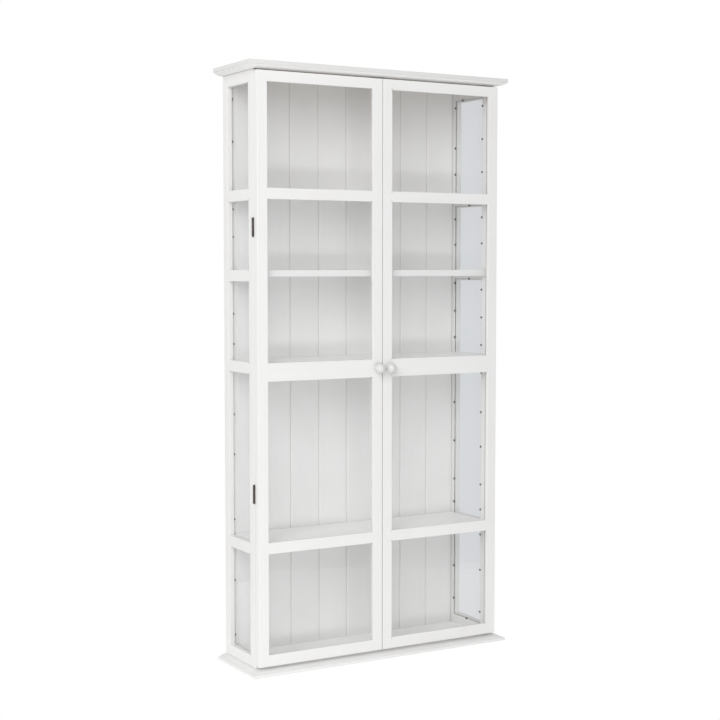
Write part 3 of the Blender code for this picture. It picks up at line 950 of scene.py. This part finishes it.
for side in SIDE_NAMES:
    for leaf, body, facing in (("post_leaf", "carcass", -1), ("door_leaf", f"door_{side}", 1)):
        spots = []
        for height in ("lower", "upper"):
            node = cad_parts[f"hinge_{side}_{height}_{leaf}"]
            node.data.materials.clear()
            node.data.materials.append(hinge_bronze)
            low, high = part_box(node.name)
            screw_x = SIDES[side] * (min(abs(low.x), abs(high.x)) + LEAF_SCREW_INSET)
            middle = (low.z + high.z) / 2
            for index, rise in enumerate(SCREW_HEIGHTS):
                turn = SCREW_TURN * index + screw_x
                spots.append(((screw_x, LEAF_FACES[leaf], middle + rise), turn))
        slotted_screws(f"hinge_screws_{side}_{leaf}", spots, facing, body)

# ---------------------------------------------------------------- knobs
# A ball knob on each door, where the lock rail meets the stile. Each is turned from one piece of wood
# with a short neck and a round foot, painted, and screwed on from behind.
KNOB_RADIUS = 0.0145
KNOB_NECK_RADIUS = 0.0062
KNOB_FOOT_RADIUS = 0.0085
KNOB_FOOT_HEIGHT = 0.0028
KNOB_COVE = 0.0022
KNOB_FOOT_EASE = 0.0006
KNOB_RINGS = 28
KNOB_SIDES = 56
# Darker than the frames' white: painted shade on the knobs.
knob_paint = painted_wood(
    "knob_paint", (0.67, 0.669, 0.665, 1.0), "deep", streaks=0.05, knots=0.0, wear=0.0, gloss=0.3,
    relief=0.00004,
)
for side in SIDE_NAMES:
    low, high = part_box(f"knob_{side}")
    knob_x = (low.x + high.x) / 2
    knob_z = (low.z + high.z) / 2
    ball_y = low.y + KNOB_RADIUS
    neck_turn = math.asin(KNOB_NECK_RADIUS / KNOB_RADIUS)
    outline = []
    for ring in range(1, KNOB_RINGS + 1):
        turn = (math.pi - neck_turn) * ring / KNOB_RINGS
        outline.append((KNOB_RADIUS * math.sin(turn), ball_y - KNOB_RADIUS * math.cos(turn)))
    foot_top = high.y - KNOB_FOOT_HEIGHT
    outline += [
        (KNOB_NECK_RADIUS + KNOB_COVE * (1 - math.cos(turn)), foot_top - KNOB_COVE * (1 - math.sin(turn)))
        for turn in rounding(90.0)
    ]
    outline += [
        (KNOB_FOOT_RADIUS - KNOB_FOOT_EASE, foot_top), (KNOB_FOOT_RADIUS, foot_top + KNOB_FOOT_EASE),
        (KNOB_FOOT_RADIUS, high.y),
    ]
    bm = bmesh.new()
    rings = [
        [
            bm.verts.new((
                knob_x + radius * math.cos(2 * math.pi * step / KNOB_SIDES), y,
                knob_z + radius * math.sin(2 * math.pi * step / KNOB_SIDES),
            ))
            for step in range(KNOB_SIDES)
        ]
        for radius, y in outline
    ]
    crown = bm.verts.new((knob_x, low.y, knob_z))
    for step in range(KNOB_SIDES):
        bm.faces.new((crown, rings[0][step], rings[0][(step + 1) % KNOB_SIDES]))
    for first, second in zip(rings, rings[1:]):
        for step in range(KNOB_SIDES):
            after = (step + 1) % KNOB_SIDES
            bm.faces.new((first[step], first[after], second[after], second[step]))
    bm.faces.new(rings[-1])
    knob = make_piece(f"turned_knob_{side}", bm, [knob_paint], f"door_{side}", "knob_paint", f"knob_{side}")
    round_shading(knob, BALL_CREASE)

# ---------------------------------------------------------------- double catch
# A magnetic catch for both doors, screwed up under the top board behind the meeting stiles. A thin
# steel strike plate, with one screw, faces it on the back of each door.
catch_plastic = painted_wood(
    "catch_plastic", (0.72, 0.71, 0.68, 1.0), "deep", streaks=0.02, knots=0.0, wear=0.0, gloss=0.45
)
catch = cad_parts["double_catch"]
catch.data.materials.clear()
catch.data.materials.append(catch_plastic)
strike_steel = handled_metal(
    "strike_steel", (0.62, 0.61, 0.60, 1.0), (0.42, 0.41, 0.40, 1.0), 500.0, 0.34, metallic=1.0
)
STRIKE_SIZE = (0.013, 0.0006, 0.0055)
STRIKE_X = 0.0125
STRIKE_BELOW_TOP = 0.0042
STRIKE_CORNER = 0.0015
STRIKE_CORNER_STEPS = 4
STRIKE_SCREW_RADIUS = 0.0018
STRIKE_SCREW_TURN = 0.5
for side in SIDE_NAMES:
    low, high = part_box(f"door_{side}_meeting_stile")
    centre = Vector((SIDES[side] * STRIKE_X, high.y + STRIKE_SIZE[1] / 2, high.z - STRIKE_BELOW_TOP))
    bm = bmesh.new()
    bmesh.ops.create_cube(bm, size=1.0)
    bmesh.ops.scale(bm, verts=bm.verts, vec=STRIKE_SIZE)
    bmesh.ops.translate(bm, verts=bm.verts, vec=centre)
    corners = [
        edge for edge in bm.edges if abs(edge.verts[0].co.y - edge.verts[1].co.y) > STRIKE_SIZE[1] / 2
    ]
    bmesh.ops.bevel(
        bm, geom=corners, offset=STRIKE_CORNER, segments=STRIKE_CORNER_STEPS, profile=0.5, affect="EDGES"
    )
    plate = make_piece(f"strike_plate_{side}", bm, [strike_steel], f"door_{side}", "hinge_bronze")
    round_shading(plate, MOULDING_CREASE)
    slotted_screws(
        f"strike_screw_{side}", [((centre.x, high.y + STRIKE_SIZE[1], centre.z), STRIKE_SCREW_TURN)], 1,
        f"door_{side}", STRIKE_SCREW_RADIUS,
    )

# ---------------------------------------------------------------- studio
# A round white floor in a white surround. A large soft lamp stands in front on the left and a weaker
# one at the left, and a long low one in front lights the undersides.
FLOOR_RADIUS = 1.3
FLOOR_SIDES = 96
FLOOR_DROP = 0.0005
FLOOR_GLOW = 0.09
WHITE = (1.0, 1.0, 1.0, 1.0)
bm = bmesh.new()
bmesh.ops.create_circle(bm, cap_ends=True, segments=FLOOR_SIDES, radius=FLOOR_RADIUS)
floor_mesh = bpy.data.meshes.new("studio_floor")
bm.to_mesh(floor_mesh)
bm.free()
studio_floor = bpy.data.objects.new("studio_floor", floor_mesh)
studio_floor.location = (0.0, 0.0, -FLOOR_DROP)
bpy.context.scene.collection.objects.link(studio_floor)
floor_white = bpy.data.materials.new("floor_white")
floor_white.use_nodes = True
floor_tree = floor_white.node_tree
floor_shader = floor_tree.nodes["Principled BSDF"]
for socket, value in (
    ("Base Color", (0.9, 0.9, 0.9, 1.0)), ("Roughness", 0.9), ("Specular IOR Level", 0.0),
    ("Emission Color", WHITE), ("Emission Strength", FLOOR_GLOW),
):
    floor_shader.inputs[socket].default_value = value
# Seen directly, the floor is as white as the surround, so that it ends without a line. Seen through
# the side glass it is as pale as the surround there.
FLOOR_THROUGH_GLASS = 0.80
FLOOR_TINT_THROUGH_GLASS = (0.99, 1.0, 1.02, 1.0)
floor_rays = add_node(floor_tree, "ShaderNodeLightPath")
floor_direct = add_node(
    floor_tree, "ShaderNodeEmission",
    {"Color": blend_colour(
        floor_tree, floor_rays.outputs["Is Transmission Ray"], WHITE, FLOOR_TINT_THROUGH_GLASS
    ), "Strength": arithmetic(
        floor_tree, "SUBTRACT", 1.0,
        arithmetic(
            floor_tree, "MULTIPLY", floor_rays.outputs["Is Transmission Ray"], 1.0 - FLOOR_THROUGH_GLASS
        ),
    )},
)
seen_by_eye = arithmetic(
    floor_tree, "MAXIMUM", floor_rays.outputs["Is Camera Ray"], floor_rays.outputs["Is Transmission Ray"]
)
floor_mix = add_node(
    floor_tree, "ShaderNodeMixShader",
    {0: seen_by_eye, 1: floor_shader.outputs["BSDF"], 2: floor_direct.outputs["Emission"]},
)
floor_tree.links.new(floor_mix.outputs[0], floor_tree.nodes["Material Output"].inputs["Surface"])
floor_mesh.materials.append(floor_white)

# The surround lights the cabinet evenly, and looks paler to the eye than the light it gives.
SURROUND_LIGHT = 0.568
SURROUND_THROUGH_GLASS = 0.757
SURROUND_TINT_THROUGH_GLASS = (0.985, 1.0, 1.035, 1.0)
world = bpy.data.worlds.new("white surround")
bpy.context.scene.world = world
world.use_nodes = True
world_tree = world.node_tree
background = world_tree.nodes["Background"]
world_rays = add_node(world_tree, "ShaderNodeLightPath")
behind_glass = arithmetic(
    world_tree, "MULTIPLY", world_rays.outputs["Is Transmission Ray"],
    SURROUND_THROUGH_GLASS - SURROUND_LIGHT,
)
seen_directly = arithmetic(
    world_tree, "MULTIPLY", world_rays.outputs["Is Camera Ray"], 1.0 - SURROUND_LIGHT
)
world_tree.links.new(
    arithmetic(
        world_tree, "ADD", SURROUND_LIGHT, arithmetic(world_tree, "ADD", behind_glass, seen_directly)
    ),
    background.inputs["Strength"],
)
world_tree.links.new(
    blend_colour(
        world_tree, world_rays.outputs["Is Transmission Ray"], WHITE, SURROUND_TINT_THROUGH_GLASS
    ),
    background.inputs["Color"],
)


def soft_lamp(name, place, target, width, height, power):
    """A rectangular soft lamp that faces a point, and is itself out of the picture."""
    data = bpy.data.lights.new(name, "AREA")
    data.shape = "RECTANGLE"
    data.size = width
    data.size_y = height
    data.energy = power
    lamp = bpy.data.objects.new(name, data)
    lamp.location = place
    lamp.rotation_euler = (Vector(target) - Vector(place)).to_track_quat("-Z", "Y").to_euler()
    lamp.visible_camera = False
    lamp.visible_transmission = False
    bpy.context.scene.collection.objects.link(lamp)


MIDDLE = (0.0, 0.0, 0.9)
UPPER_FRONT = (0.0, 0.0, 1.3)
soft_lamp("front_left_lamp", (-2.6, -2.6, 2.6), MIDDLE, width=2.4, height=2.4, power=78.0)
soft_lamp("left_lamp", (-4.0, 0.2, 1.4), MIDDLE, width=2.4, height=2.4, power=24.5)
soft_lamp("low_front_lamp", (-1.2, -3.2, 0.25), UPPER_FRONT, width=2.5, height=0.4, power=24.0)

# The camera stands at chest height, to the left of the front, and looks slightly down.
SENSOR_WIDTH = 36.0
LENS = 72.55
CAMERA_PLACE = (-2.0820, -3.5618, 1.1034)
LOOK_DOWN = 3.677
LOOK_RIGHT = 30.056
camera_data = bpy.data.cameras.new("camera")
camera_data.sensor_width = SENSOR_WIDTH
camera_data.lens = LENS
camera = bpy.data.objects.new("camera", camera_data)
camera.location = CAMERA_PLACE
camera.rotation_euler = (math.radians(90.0 - LOOK_DOWN), 0.0, math.radians(-LOOK_RIGHT))
bpy.context.scene.collection.objects.link(camera)
bpy.context.scene.camera = camera
bpy.context.scene.view_settings.view_transform = "Standard"
